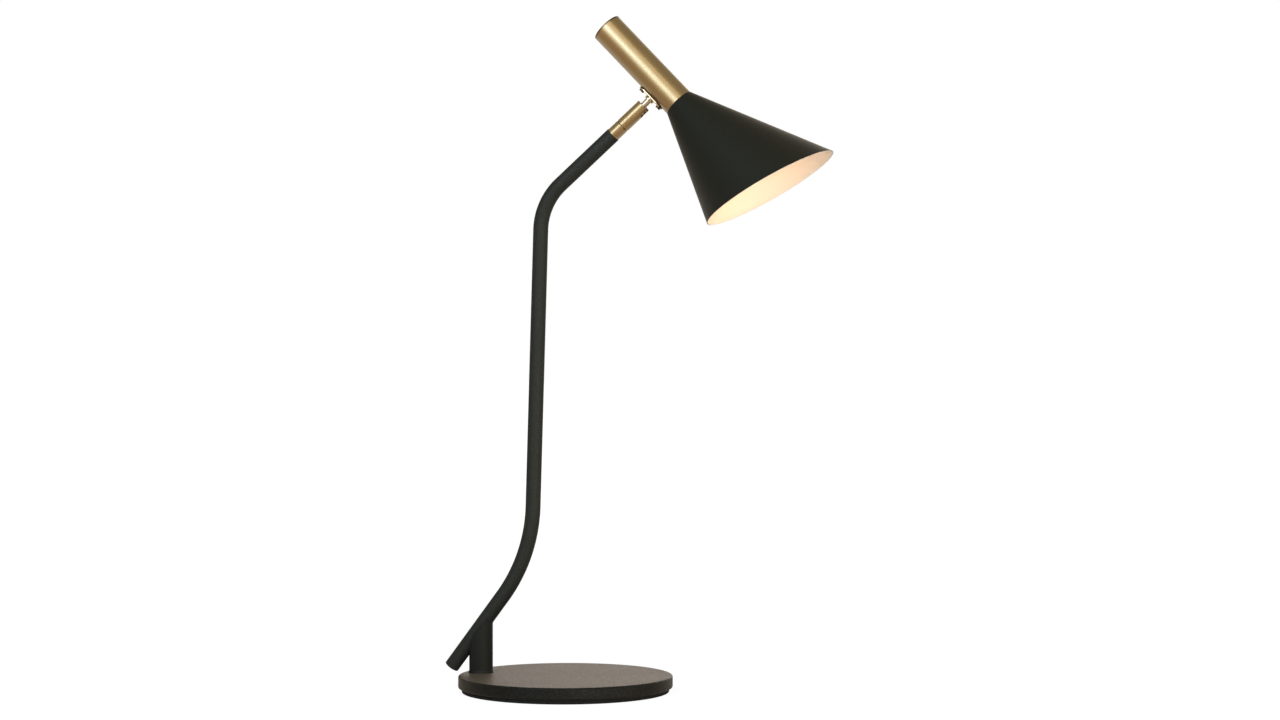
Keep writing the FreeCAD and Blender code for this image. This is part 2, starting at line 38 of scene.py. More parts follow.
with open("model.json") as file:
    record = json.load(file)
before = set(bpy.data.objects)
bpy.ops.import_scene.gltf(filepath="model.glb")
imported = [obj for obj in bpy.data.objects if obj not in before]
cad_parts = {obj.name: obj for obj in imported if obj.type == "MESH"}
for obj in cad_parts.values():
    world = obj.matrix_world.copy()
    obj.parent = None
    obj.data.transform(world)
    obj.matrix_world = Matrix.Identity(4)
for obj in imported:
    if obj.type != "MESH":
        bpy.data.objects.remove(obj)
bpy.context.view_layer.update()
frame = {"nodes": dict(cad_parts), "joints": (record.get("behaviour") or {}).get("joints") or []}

# Lengths are metres and angles radians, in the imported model's own frame. +Z is up, +X points from the
# arm to the shade, and the lamp is symmetric about the plane y = 0.

WHITE = (1.0, 1.0, 1.0)
Y = np.array([0.0, 1.0, 0.0])

# An edge that turns by more than SHARP stays sharp, and points nearer than MERGE become one
SHARP = math.radians(38)
MERGE = 1e-7

# How many points each form has, or a thread has a turn, and how often the bead's line is smoothed
AROUND = 96
AROUND_SHADE = 192
AROUND_BEAD = 16
CORNER_STEPS = 8
ARM_END_STEPS = 5
ARM_BEND_STEPS = 40
BEAD_END_STEPS = 33
BEAD_SIDE_STEPS = 38
SHADE_STEPS = 25
LIP_STEPS = 7
GLOBE_STEPS = 48
TURN_STEPS = 20
SMOOTHINGS = 6


def mm(value):
    return value / 1000


def srgb(red, green, blue):
    """A colour read off a screen, 0 to 255, as the linear values that shaders use."""
    level = np.array([red, green, blue]) / 255
    linear = np.where(level <= 0.04045, level / 12.92, ((level + 0.055) / 1.055) ** 2.4)
    return tuple(float(v) for v in linear)


def scaled(tint, factor):
    """A colour made darker or lighter, at most white."""
    return tuple(min(1.0, v * factor) for v in tint)


def length(name, description, default):
    """A length whose default is written in millimetres."""
    return FloatProperty(name=name, description=description, default=mm(default), unit="LENGTH",
                         subtype="DISTANCE", precision=5)


def angle(name, description, default):
    """An angle whose default is written in degrees."""
    return FloatProperty(name=name, description=description, default=math.radians(default),
                         unit="ROTATION", subtype="ANGLE")


def strength(name, description, default):
    """A strength of light, where 1 shows as white, or a share of it."""
    return FloatProperty(name=name, description=description, default=default, min=0)


def colour(name, description, default):
    return FloatVectorProperty(name=name, description=description, default=default, size=3, min=0, max=1,
                               subtype="COLOR")


class ArmSizes(bpy.types.PropertyGroup):
    """Sizes of the arm, the post and the weld between them"""

    diameter: length("Diameter", "Outside of the arm's tube", 12.7)
    wall: length("Wall", "Thickness of the tube's wall", 1.2)
    edge: length("Edge round", "Radius of the round at each end of the tube", 0.25)
    cross_x: length("Crossing place", "Where the arm's centreline crosses the post's, along X", -74.6)
    cross_h: length("Crossing height", "Height of the same crossing", 52.8)
    tail: length("Tail", "From the crossing down to the arm's foot", 43.8)
    lower_run: length("Lower run", "From the crossing to the lower corner", 74.8)
    middle_run: length("Middle run", "From the lower corner to the upper corner", 297.9)
    upper_run: length("Upper run", "From the upper corner to the arm's top end", 84.1)
    lower_angle: angle("Lower lean", "Lean of the lower run from the vertical", 36.83)
    middle_angle: angle("Middle lean", "Lean of the middle run from the vertical", 1.66)
    upper_angle: angle("Upper lean", "Lean of the upper run from the vertical", 48.29)
    lower_bend: length("Lower bend", "Radius of the lower bend's centreline", 134.0)
    upper_bend: length("Upper bend", "Radius of the upper bend's centreline", 52.7)
    flange: length("Bush flange", "Thickness of the bush's flange at the arm's foot", 1.4)
    post_diameter: length("Post diameter", "Diameter of the post", 20.0)
    saddle_sink: length("Saddle sink", "How far the post's mitre lies past the arm's centreline", 1.6)
    bead: length("Weld bead", "Radius of the painted weld between post and arm", 0.3)
    # Under this depth from the collar's outside, the slot takes painted shade
    slot_shade_depth: length("Slot skin", "Depth of the slotted collar's bright outer skin", 0.55)


class HeadSizes(bpy.types.PropertyGroup):
    """Sizes of the brass tube and the shade"""

    diameter: length("Tube diameter", "Outside of the brass tube", 26.6)
    wall: length("Tube wall", "Thickness of the brass tube's wall", 1.2)
    tube: length("Tube length", "Length of the brass tube with its cap", 89.8)
    stem_back: length("Stem place", "From the tube's lower end back to the stem", 20.1)
    reach: length("Reach", "From the ball's centre to the tube's axis", 27.97)
    lean: angle("Lean", "Lean of the tube's axis from the vertical, towards the shade", 136.17)
    # Below this height over the tube, the saddle plate's cut edge takes painted shade
    plate_shade_height: length("Plate edge", "Height of the saddle plate's dark cut edge over the tube", 0.95)
    sleeve: length("Sleeve", "How far the shade's neck goes up inside the tube", 5.5)
    fit: length("Neck gap", "Gap between the shade's neck and the tube", 0.05)
    hole: length("Flange hole", "Radius of the hole in the shade's flange", 5.1)
    neck_bend: length("Neck bend", "Radius between the shade's neck and its flange", 0.35)
    shade_wall: length("Shade wall", "Thickness of the shade's sheet", 0.9)
    lip: length("Lip", "Radius of the enamel's round over the sheet's edge", 0.3)
    half_angle: angle("Half angle", "Angle between the shade's side and its axis", 22.95)
    mouth_run: length("Mouth place", "From the tube's end to the mouth's plane on the axis", 103.66)
    mouth_angle: angle("Mouth slant", "Turn of the mouth's plane from square", 13.96)


class BulbSizes(bpy.types.PropertyGroup):
    """Sizes of the bulb and the socket's shell"""

    length: length("Length", "From the solder tip to the top of the glass", 72.0)
    diameter: length("Diameter", "Widest part of the glass", 45.0)
    wall: length("Wall", "Thickness of the glass", 0.9)
    tip_place: length("Tip place", "Where the solder tip is, along the head's axis", 101.85)
    cap_place: length("Cap place", "Where the screw cap starts, along the head's axis", 105.55)
    cap_length: length("Cap length", "Length of the screw cap", 17.0)
    cap_diameter: length("Cap diameter", "Outside of the screw cap's thread", 13.9)
    cap_wall: length("Cap wall", "Thickness of the screw cap's metal", 0.4)
    neck_gap: length("Neck gap", "Gap between the glass and the screw cap", 0.05)
    neck_length: length("Neck length", "How far the glass goes down into the screw cap", 7.0)
    neck_bend: length("Neck bend", "Radius of the glass where it leaves the cap", 5.0)
    shoulder_diameter: length("Shoulder", "Width of the glass where its flank starts", 18.0)
    shoulder_length: length("Shoulder length", "From the cap's rim to the shoulder", 6.0)
    shoulder_bend: length("Shoulder bend", "Radius of the glass at the shoulder", 4.0)
    thread_pitch: length("Thread pitch", "Distance between the cap's thread turns", 2.82)
    thread_depth: length("Thread depth", "Depth of the cap's rolled thread", 0.55)
    socket_gap: length("Socket gap", "Gap between the cap's thread and the socket's shell", 0.15)
    socket_floor: length("Socket floor", "Where the socket's shell starts, along the head's axis", 99.7)
    socket_length: length("Socket length", "Length of the socket's shell", 17.0)
    socket_wall: length("Socket wall", "Thickness of the socket's shell", 0.5)


class LampColours(bpy.types.PropertyGroup):
    """Colours of the lamp's finishes and of the bulb's light"""

    arm: colour("Arm paint", "Fine-textured powder coat", srgb(37, 39, 34))
    # Painted shade: the post has the arm's paint, darkened by half because it stands low, where less light
    # falls
    post: colour("Post paint", "The arm's paint, darker", scaled(srgb(37, 39, 34), 0.5))
    base: colour("Base paint", "Rough powder coat", srgb(22, 22, 19))
    shade: colour("Shade paint", "Smooth matte paint outside the shade", srgb(31, 32, 26))
    crests: colour("Paint crests", "Light that paint catches at a low angle", srgb(250, 228, 200))
    lining: colour("Lining", "White enamel inside the shade", srgb(235, 228, 214))
    brass: colour("Brass", "Satin brass", srgb(178, 149, 98))
    cap: colour("Cap", "Browned brass of the tube's end cap", srgb(122, 104, 72))
    contact: colour("Contact brass", "Bright brass of the socket and its contact", srgb(205, 176, 118))
    nickel: colour("Nickel", "Warm polished nickel of the swivel's stem", srgb(242, 226, 200))
    plate: colour("Saddle plate", "Polished pale brass of the saddle plate", srgb(228, 212, 180))
    # Painted shade: a dark colour for the shade on the saddle plate's cut edge and inside the collar's
    # slot
    painted_edge_shade: colour("Tarnish", "Dark cut edges of the saddle plate and the slot", srgb(62, 45, 26))
    steel: colour("Steel", "Zinc-plated fasteners", srgb(176, 178, 180))
    screws: colour("Screws", "Browned steel of the saddle screws", srgb(96, 84, 70))
    dark_plastic: colour("Dark plastic", "Moulded lampholder", srgb(30, 30, 31))
    pale_plastic: colour("Pale plastic", "Moulded insulator and liner", srgb(225, 222, 214))
    rubber: colour("Pad", "Soft pad under the base", srgb(26, 26, 25))
    glass: colour("Opal glass", "The bulb's glass", srgb(250, 243, 230))
    glow: colour("Glow", "The bulb's glass, lit from inside", srgb(255, 222, 176))
    bulb_light: colour("Bulb light", "Light that the bulb throws on the shade", srgb(255, 192, 143))


class StageSettings(bpy.types.PropertyGroup):
    """The camera, the floor and what lies round the lamp"""

    camera_angle: angle("Camera angle", "How far the camera stands round from the front", 14.898)
    camera_distance: length("Camera distance", "From the lamp's middle plane, along the view", 2205.669)
    camera_height: length("Camera height", "Height of the level camera", 278.016)
    camera_aim: length("Camera aim", "Where the view crosses the lamp's middle plane, along X", 64.648)
    lens: FloatProperty(name="Lens", description="Focal length", default=74.46, unit="CAMERA")
    light_aim: length("Light aim", "Where the studio lights face, along X", 50.0)
    light_aim_height: length("Light aim height", "Height at which the studio lights face", 300.0)
    light_distance: length("Light distance", "From each studio light to where it faces", 2400.0)
    fill: strength("Fill", "Soft light on the lamp from everywhere", 0.2)
    room: strength("Room", "What metal sees all round, beyond the fill", 0.17)
    backdrop: strength("Backdrop", "What metal sees behind the lamp, beyond fill and room", 0.62)
    room_tint: colour("Room tint", "Warm walls that metal sees beside the lamp", (1.0, 0.9, 0.68))
    floor_size: length("Floor", "Half the floor's side", 30000.0)
    floor_drop: length("Floor drop", "From the lamp's foot down to the floor", 0.05)
    floor_glow: strength("Floor glow", "White that the camera sees on the floor", 1.17)
    near_share: strength("Near share", "Share of the glow near the lamp", 0.8)
    far_share: strength("Far share", "Share of the glow far from the lamp", 0.9)
    near_reach: length("Near reach", "Where the glow's share starts to grow", 500.0)
    far_reach: length("Far reach", "Where the glow has its far share", 2000.0)
    front: strength("Floor in front", "What metal sees of the floor in front", 0.47)
    front_tint: colour("Front tint", "The floor in front of the lamp", (1.0, 0.8, 0.58))
    front_end: length("Front end", "Where the floor in front starts to grow pale, along Y", -200.0)
    rear: strength("Floor behind", "What metal sees of the floor behind", 0.62)
    rear_tint: colour("Rear tint", "The floor behind the lamp", (1.0, 0.94, 0.84))
    rear_start: length("Rear start", "Where the floor is wholly pale, along Y", 300.0)


# Frames and outlines


def leaning(point, lean):
    """A 4x4 frame at a point whose +Z leans from the vertical towards +X and whose +Y stays +Y."""
    return np.array(Matrix.Translation(Vector(point)) @ Matrix.Rotation(lean, 4, "Y"))


def placed(points, place):
    """Points carried into a frame: the frame's turn times each point, plus the frame's origin."""
    return points @ place[:3, :3].T + place[:3, 3]


def heading(lean):
    """The unit vectors (sin, 0, cos) of leans in the plane y = 0."""
    lean = np.asarray(lean, float)
    return np.stack([np.sin(lean), np.zeros_like(lean), np.cos(lean)], -1)


def unit(vector):
    return vector / np.linalg.norm(vector, axis=-1, keepdims=True)


def even_turns(count):
    """Angles all round, from 0 and short of the full turn."""
    return np.linspace(0, 2 * math.pi, count, endpoint=False)


def ball_centre():
    """The centre of the swivel's ball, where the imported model's tilt joint is."""
    return np.array(next(j["pos_m"] for j in frame["joints"] if j["name"] == "head_tilt"), float)


def head_place():
    """The head's frame: its origin is the tube's far end, and +Z runs down the tube to the mouth."""
    head = bpy.context.scene.lamp_head
    stem_lean = head.lean - math.pi / 2
    crossing = ball_centre() + heading(stem_lean) * head.reach
    start = crossing - heading(head.lean) * (head.tube - head.stem_back)
    return leaning(start, head.lean)


def collar_place():
    """The swivel's frame: its origin is the ball's centre, and +Z runs on along the arm's upper run."""
    return leaning(ball_centre(), bpy.context.scene.lamp_arm.upper_angle)


def softened(corners, radii):
    """An outline with rounded corners, or a sharp one where the radius is 0. Each arc's centre lies on
    its corner's bisector at radius / sin(half the angle), and its points are the even turns between its
    two tangent points."""
    corners = np.asarray(corners, float)
    earlier = np.roll(corners, 1, 0)
    later = np.roll(corners, -1, 0)
    t = np.linspace(0, 1, CORNER_STEPS)[:, None]
    parts = []
    for here, before, after, radius in zip(corners, earlier, later, radii):
        if radius == 0:
            parts.append(here[None])
            continue
        back = unit(before - here)
        ahead = unit(after - here)
        half = math.acos(float(np.clip(back @ ahead, -1, 1))) / 2
        centre = here + unit(back + ahead) * radius / math.sin(half)
        setback = radius / math.tan(half)
        first = here + back * setback - centre
        last = here + ahead * setback - centre
        sweep = math.pi - 2 * half
        arc = (np.sin((1 - t) * sweep) * first + np.sin(t * sweep) * last) / math.sin(sweep)
        parts.append(centre + arc)
    return np.concatenate(parts)


def turned(outline, around=AROUND):
    """A surface of revolution: each outline point (r, h) gives the ring (r cos t, r sin t, h)."""
    t = even_turns(around)
    radius = outline[:, 0][:, None]
    height = np.broadcast_to(outline[:, 1][:, None], (len(outline), around))
    return np.stack([radius * np.cos(t), radius * np.sin(t), height], -1)


def swept(points, leans, radii):
    """A tube round a line in the plane y = 0: each point plus radius (cos t side + sin t Y), where side
    is the level-turned heading (cos lean, 0, -sin lean)."""
    t = even_turns(AROUND)[None, :, None]
    side = np.stack([np.cos(leans), np.zeros_like(leans), -np.sin(leans)], -1)[:, None, :]
    return points[:, None, :] + radii[:, None, None] * (np.cos(t) * side + np.sin(t) * Y)


# Meshes and pieces


def mesh_of(name, grid):
    """A mesh from a grid of points: a quad between each four neighbours, where the last row and column
    join the first. Equal points are merged, which closes poles."""
    number = np.arange(grid.shape[0] * grid.shape[1]).reshape(grid.shape[:2])
    beside = np.roll(number, -1, 1)
    below = np.roll(number, -1, 0)
    quads = np.stack([number, beside, np.roll(beside, -1, 0), below], -1).reshape(-1, 4)
    mesh = bpy.data.meshes.new(name)
    mesh.from_pydata(grid.reshape(-1, 3).tolist(), [], quads.tolist())
    work = bmesh.new()
    work.from_mesh(mesh)
    bmesh.ops.remove_doubles(work, verts=work.verts, dist=MERGE)
    bmesh.ops.recalc_face_normals(work, faces=work.faces)
    work.to_mesh(mesh)
    work.free()
    mesh.shade_smooth()
    mesh.set_sharp_from_angle(angle=SHARP)
    return mesh


def piece(name, grid, body, material, stands_for=()):
    """A finished piece from a grid: it rides on a body, takes a slot and stands for CAD nodes."""
    made = bpy.data.objects.new(name, mesh_of(name, grid))
    bpy.context.scene.collection.objects.link(made)
    made.data.materials.append(material)
    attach(made, body)
    if stands_for:
        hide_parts(*stands_for)
    return made


def dress(material, *nodes):
    """Gives CAD nodes a finish through their objects' material slots."""
    for name in nodes:
        node = frame["nodes"][name]
        if not node.material_slots:
            raise RuntimeError("CAD node " + name + " has no material slot")
        for slot in node.material_slots:
            slot.material = material


# Finishes


class Wire:
    """One output of a node. Python's operators on it add Math nodes, so a pattern reads as a formula."""

    def __init__(self, finish, socket):
        self.finish = finish
        self.socket = socket

    def maths(self, operation, first, second):
        return self.finish.node("ShaderNodeMath", {"operation": operation}, {0: first, 1: second})

    def __add__(self, other):
        return self.maths("ADD", self, other)

    def __radd__(self, other):
        return self.maths("ADD", other, self)

    def __sub__(self, other):
        return self.maths("SUBTRACT", self, other)

    def __rsub__(self, other):
        return self.maths("SUBTRACT", other, self)

    def __mul__(self, other):
        return self.maths("MULTIPLY", self, other)

    def __rmul__(self, other):
        return self.maths("MULTIPLY", other, self)

    def at_least(self, other):
        return self.maths("MAXIMUM", self, other)


class Finish:
    """A material or world under construction. Every node comes from its one method, node."""

    def __init__(self, owner):
        owner.use_nodes = True
        self.owner = owner
        self.tree = owner.node_tree
        self.tree.nodes.clear()

    def node(self, kind, settings=None, sockets=None, output=0):
        """Adds a node: its settings first, and then a value or a link for each socket named."""
        made = self.tree.nodes.new(kind)
        for key, value in (settings or {}).items():
            setattr(made, key, value)
        for key, value in (sockets or {}).items():
            socket = made.inputs[key]
            if isinstance(value, Wire):
                self.tree.links.new(value.socket, socket)
            elif socket.type == "RGBA":
                socket.default_value = (*value, 1.0)
            else:
                socket.default_value = value
        return Wire(self, made.outputs[output]) if made.outputs else made

    def object_space(self, place=None, stretch=None):
        """Object coordinates, turned into a frame and stretched where a pattern needs it."""
        here = self.node("ShaderNodeTexCoord", output="Object")
        if place is not None:
            spot = tuple(float(v) for v in place[:3, 3])
            turn = tuple(Matrix(place[:3, :3].tolist()).to_euler())
            sockets = {"Vector": here, "Location": spot, "Rotation": turn}
            here = self.node("ShaderNodeMapping", {"vector_type": "TEXTURE"}, sockets)
        if stretch is not None:
            sockets = {"Vector": here, "Scale": stretch}
            here = self.node("ShaderNodeMapping", {"vector_type": "POINT"}, sockets)
        return here

    def part(self, vector, axis):
        """One of a vector's three numbers."""
        return self.node("ShaderNodeSeparateXYZ", sockets={"Vector": vector}, output=axis)

    def reach(self, vector):
        """A vector's length."""
        return self.node("ShaderNodeVectorMath", {"operation": "LENGTH"}, {0: vector}, "Value")

    def ray(self, question):
        """1 for the rays that the question holds for, and 0 for the others."""
        return self.node("ShaderNodeLightPath", output=question)

    def noise(self, vector, size, detail=2.0, roughness=0.5):
        """Noise from 0 to 1 whose grains are about this size."""
        sockets = {"Vector": vector, "Scale": 1 / size, "Detail": detail, "Roughness": roughness}
        return self.node("ShaderNodeTexNoise", sockets=sockets)

    def grains(self, vector, size):
        """The distance to the nearest point of a random grid of cells of this size."""
        return self.node("ShaderNodeTexVoronoi", {"feature": "F1"}, {"Vector": vector, "Scale": 1 / size})

    def remap(self, value, low, high, to_low=0.0, to_high=1.0):
        """Carries the span from low to high evenly to another span, and stops at its ends."""
        sockets = {"Value": value, "From Min": low, "From Max": high, "To Min": to_low,
                   "To Max": to_high}
        return self.node("ShaderNodeMapRange", {"clamp": True}, sockets)

    def stretched(self, noise, to_low=0.0, to_high=1.0):
        """Noise keeps near its middle, so its part from 0.3 to 0.7 is carried to a whole span."""
        return self.remap(noise, 0.3, 0.7, to_low, to_high)

    def between(self, share, first, second):
        """A colour between two, by share. A Mix node's colours are its inputs 6 and 7 and its output 2."""
        return self.node("ShaderNodeMix", {"data_type": "RGBA"}, {0: share, 6: first, 7: second}, 2)

    def bump(self, height, distance):
        return self.node("ShaderNodeBump", sockets={"Height": height, "Distance": distance})

    def glowing(self, tint, strength):
        return self.node("ShaderNodeEmission", sockets={"Color": tint, "Strength": strength})

    def mixed(self, share, first, second):
        """A shader between two, by share."""
        return self.node("ShaderNodeMixShader", sockets={0: share, 1: first, 2: second})

    def ended(self, shader):
        """Ends a material in a shader."""
        self.node("ShaderNodeOutputMaterial", sockets={"Surface": shader})
        return self.owner

    def finished(self, **sockets):
        """Ends a material in a Principled shader. Underscores in a name stand for spaces."""
        named = {key.replace("_", " "): value for key, value in sockets.items()}
        return self.ended(self.node("ShaderNodeBsdfPrincipled", sockets=named))


def new_finish(name):
    return Finish(bpy.data.materials.new(name))


# Sizes of the patterns: grains, cells and lines are fine, and a patch is the slow drift over a surface
PAINT_PATCH = mm(45)
LATHE_LINE = mm(0.9)
METAL_PATCH = mm(22)
# The span over which the painted shade on cut edges and slots fades out
SHADE_FADE = mm(0.2)
PLASTIC_GRAIN = mm(0.5)
PLASTIC_DEPTH = mm(0.012)
PLASTIC_PATCH = mm(9)
PAD_CELL = mm(0.8)
PAD_DEPTH = mm(0.08)
PAD_DUST = mm(14)
ENAMEL_PEEL = mm(1.6)
ENAMEL_DEPTH = mm(0.015)
ENAMEL_PATCH = mm(30)
OPAL_PATCH = mm(12)
FLOOR_PATCH = mm(400)

# How a frame's axes are stretched for lines round its +Z, and for the distance from it
ROUND_LINES = (0.02, 0.02, 1.0)
FLAT = (1.0, 1.0, 0.0)

# The shares of Y in a ray's way at which metal starts to see the backdrop, and at which it sees it whole
BACKDROP_SPAN = (0.75, 0.9)


def powder_coat(name, tint, grain, depth, rough, spread, specular=0.25, sheen=0.0):
    """Matte powder coat: fine grains raise the surface, and a slow drift and the grains' crests change
    its colour, by the spread, and its gloss a little. A sheen stands for the dry crests that catch light
    at a low angle."""
    finish = new_finish(name)
    here = finish.object_space()
    fine = finish.noise(here, grain, detail=3.0, roughness=0.6)
    cells = finish.grains(here, grain * 1.6)
    slow = finish.noise(here, PAINT_PATCH)
    height = fine * 0.6 + cells * 0.4
    share = finish.remap(height, 0.35, 0.65) * 0.75 + slow * 0.25
    base = finish.between(share, scaled(tint, 1 - spread), scaled(tint, 1 + spread))
    gloss = finish.remap(share, 0.0, 1.0, rough + 0.08, rough - 0.08)
    crests = bpy.context.scene.lamp_colours.crests
    return finish.finished(Base_Color=base, Roughness=gloss, Specular_IOR_Level=specular,
                           Sheen_Weight=sheen, Sheen_Roughness=0.35, Sheen_Tint=crests,
                           Normal=finish.bump(height, depth))


def satin_metal(name, tint, place, rough, depth=mm(0.003), drift=0.06, shaded_under=0.0, lacquer=0.0):
    """Satin metal, finished on a lathe: fine lines run round the axis, so the pattern changes fast along
    it and slowly across it, and a slow drift stands for handling. Metal nearer the axis than shaded_under
    takes a painted shade, a dark colour for the shade on a plate's cut edge and in a slot. Lacquer is a
    clear coat, which whitens highlights."""
    finish = new_finish(name)
    here = finish.object_space(place)
    line = finish.noise(finish.object_space(place, ROUND_LINES), LATHE_LINE, roughness=0.6)
    slow = finish.noise(here, METAL_PATCH)
    share = line * 0.3 + slow * 0.7
    base = finish.between(finish.stretched(share), scaled(tint, 1 - drift), scaled(tint, 1 + drift))
    gloss = finish.stretched(share, rough - 0.02, rough + 0.02)
    # Painted shade: metal nearer the axis than shaded_under turns dark, for the shade on cut edges and in
    # slots
    if shaded_under:
        radius = finish.reach(finish.object_space(place, FLAT))
        unshaded = finish.remap(radius, shaded_under - SHADE_FADE, shaded_under)
        base = finish.between(unshaded, bpy.context.scene.lamp_colours.painted_edge_shade, base)
    return finish.finished(Base_Color=base, Roughness=gloss, Metallic=1.0, Coat_Weight=lacquer,
                           Coat_IOR=1.8, Coat_Roughness=0.2, Normal=finish.bump(line, depth))


def lacquered_brass(name, place, rough, shaded_under=0.0):
    """Satin brass under clear lacquer, with very fine lines."""
    return satin_metal(name, bpy.context.scene.lamp_colours.brass, place, rough, depth=mm(0.001),
                       drift=0.04, shaded_under=shaded_under, lacquer=1.0)


def moulded(name, tint, rough):
    """Moulded plastic: a faint spark-eroded grain, with slightly uneven gloss."""
    finish = new_finish(name)
    here = finish.object_space()
    grain = finish.noise(here, PLASTIC_GRAIN)
    slow = finish.noise(here, PLASTIC_PATCH)
    base = finish.between(slow, scaled(tint, 0.86), scaled(tint, 1.1))
    gloss = finish.stretched(grain * 0.5 + slow * 0.5, rough - 0.07, rough + 0.07)
    return finish.finished(Base_Color=base, Roughness=gloss, Specular_IOR_Level=0.4,
                           Normal=finish.bump(grain, PLASTIC_DEPTH))


def pad_finish(tint):
    """Dense foam rubber: small open cells, and dust in them."""
    finish = new_finish("pad_rubber_finish")
    here = finish.object_space()
    cells = finish.grains(here, PAD_CELL)
    dust = finish.noise(here, PAD_DUST, detail=4.0)
    base = finish.between(cells * 0.7 + dust * 0.3, scaled(tint, 0.7), scaled(tint, 1.7))
    gloss = finish.remap(cells, 0.0, 1.0, 0.85, 0.95)
    return finish.finished(Base_Color=base, Roughness=gloss, Specular_IOR_Level=0.2,
                           Normal=finish.bump(cells, PAD_DEPTH))


def enamel(tint):
    """White enamel sprayed inside the shade: a soft orange peel and a slight warmth where it is thin."""
    finish = new_finish("shade_lining_finish")
    here = finish.object_space()
    peel = finish.noise(here, ENAMEL_PEEL)
    slow = finish.noise(here, ENAMEL_PATCH)
    base = finish.between(finish.stretched(slow), tint, scaled(tint, 0.94))
    gloss = finish.stretched(peel, 0.42, 0.52)
    return finish.finished(Base_Color=base, Roughness=gloss, Specular_IOR_Level=0.4,
                           Normal=finish.bump(peel, ENAMEL_DEPTH))


def opal(tint, glow, place, bottom, top):
    """Opal glass lit from inside: the glow is even over the globe and fades a little at the neck."""
    finish = new_finish("opal_glass_finish")
    here = finish.object_space(place)
    lit = finish.remap(finish.part(here, "Z"), bottom, top, 0.55, 1.0)
    cloud = finish.noise(here, OPAL_PATCH)
    light = finish.between(lit * (cloud * 0.06 + 0.97), scaled(glow, 0.25), glow)
    base = finish.between(cloud, scaled(tint, 0.96), tint)
    gloss = finish.stretched(cloud, 0.18, 0.26)
    return finish.finished(Base_Color=base, Roughness=gloss, Emission_Color=light,
                           Emission_Strength=0.95)


# Shapes


def arm_line(arm):
    """The arm's centreline, as points and leans. A bend keeps its radius while its lean goes evenly from
    one run's to the next's, so its points are start + radius times the sum of the headings."""
    runs = [arm.tail + arm.lower_run, arm.middle_run, arm.upper_run]
    angles = [arm.lower_angle, arm.middle_angle, arm.upper_angle]
    here = np.array([arm.cross_x, 0.0, arm.cross_h]) - heading(angles[0]) * arm.tail
    points = [here[None]]
    leans = [angles[:1]]
    used = 0.0
    for run, start, end, radius in zip(runs, angles, angles[1:], [arm.lower_bend, arm.upper_bend]):
        setback = radius * math.tan(abs(end - start) / 2)
        here = here + heading(start) * (run - used - setback)
        lean = np.linspace(start, end, ARM_BEND_STEPS)
        side = math.cos(start) - np.cos(lean)
        rise = np.sin(lean) - math.sin(start)
        shift = np.stack([side, np.zeros_like(lean), rise], -1)
        points.append(here + math.copysign(radius, end - start) * shift)
        leans.append(lean)
        here = points[-1][-1]
        used = setback
    points.append((here + heading(angles[-1]) * (runs[-1] - used))[None])
    leans.append(angles[-1:])
    return np.concatenate(points), np.concatenate(leans)


def arm_grid(arm):
    """The arm's tube: its outside along the centreline, a small round at each end, and its bore back."""
    points, leans = arm_line(arm)
    points[0] += heading(arm.lower_angle) * arm.flange
    edge = arm.edge
    outer = arm.diameter / 2
    t = np.linspace(0, math.pi / 2, ARM_END_STEPS)
    foot = points[0] + heading(arm.lower_angle) * (edge - edge * np.cos(t))[:, None]
    top = points[-1] - heading(arm.upper_angle) * (edge - edge * np.sin(t))[:, None]
    line = np.concatenate([foot, points[1:-1], top, points[::-1]])
    lean = np.concatenate([leans[:1].repeat(ARM_END_STEPS), leans[1:-1],
                           leans[-1:].repeat(ARM_END_STEPS), leans[::-1]])
    radius = np.concatenate([outer - edge + edge * np.sin(t), np.full(len(points) - 2, outer),
                             outer - edge + edge * np.cos(t), np.full(len(points), outer - arm.wall)])
    return swept(line, lean, radius)


def bead_grid(arm):
    """The painted weld along the edge where the post's mitre meets the arm. In the arm's frame the edge
    lies on the arm's surface at a turn. Its long sides keep the turn of the mitre, and its ends lie
    where (x cos lean + z sin lean)^2 + y^2 is the post's radius squared."""
    radius = arm.diameter / 2
    post_radius = arm.post_diameter / 2
    limit = math.acos(arm.saddle_sink / radius)
    turn = np.linspace(-limit, limit, BEAD_END_STEPS)

    def end(turn, side):
        x = radius * np.cos(turn)
        y = radius * np.sin(turn)
        across = side * np.sqrt(post_radius ** 2 - y ** 2)
        z = (across - x * math.cos(arm.lower_angle)) / math.sin(arm.lower_angle)
        return np.stack([x, y, z], -1)

    high = end(turn, 1)
    low = end(turn[::-1], -1)
    t = np.linspace(0, 1, BEAD_SIDE_STEPS + 2)[1:-1, None]
    loop = np.concatenate([high, high[-1] * (1 - t) + low[0] * t, low, low[-1] * (1 - t) + high[0] * t])
    for _ in range(SMOOTHINGS):
        loop = (np.roll(loop, 1, 0) + 2 * loop + np.roll(loop, -1, 0)) / 4
    along = unit(np.roll(loop, -1, 0) - np.roll(loop, 1, 0))
    across = np.cross(along, unit(loop * [1, 1, 0]))
    out = np.cross(across, along)
    t = even_turns(AROUND_BEAD)[None, :, None]
    ring = np.cos(t) * out[:, None, :] + np.sin(t) * across[:, None, :]
    local = loop[:, None, :] + arm.bead * ring
    return placed(local, leaning((arm.cross_x, 0.0, arm.cross_h), arm.lower_angle))


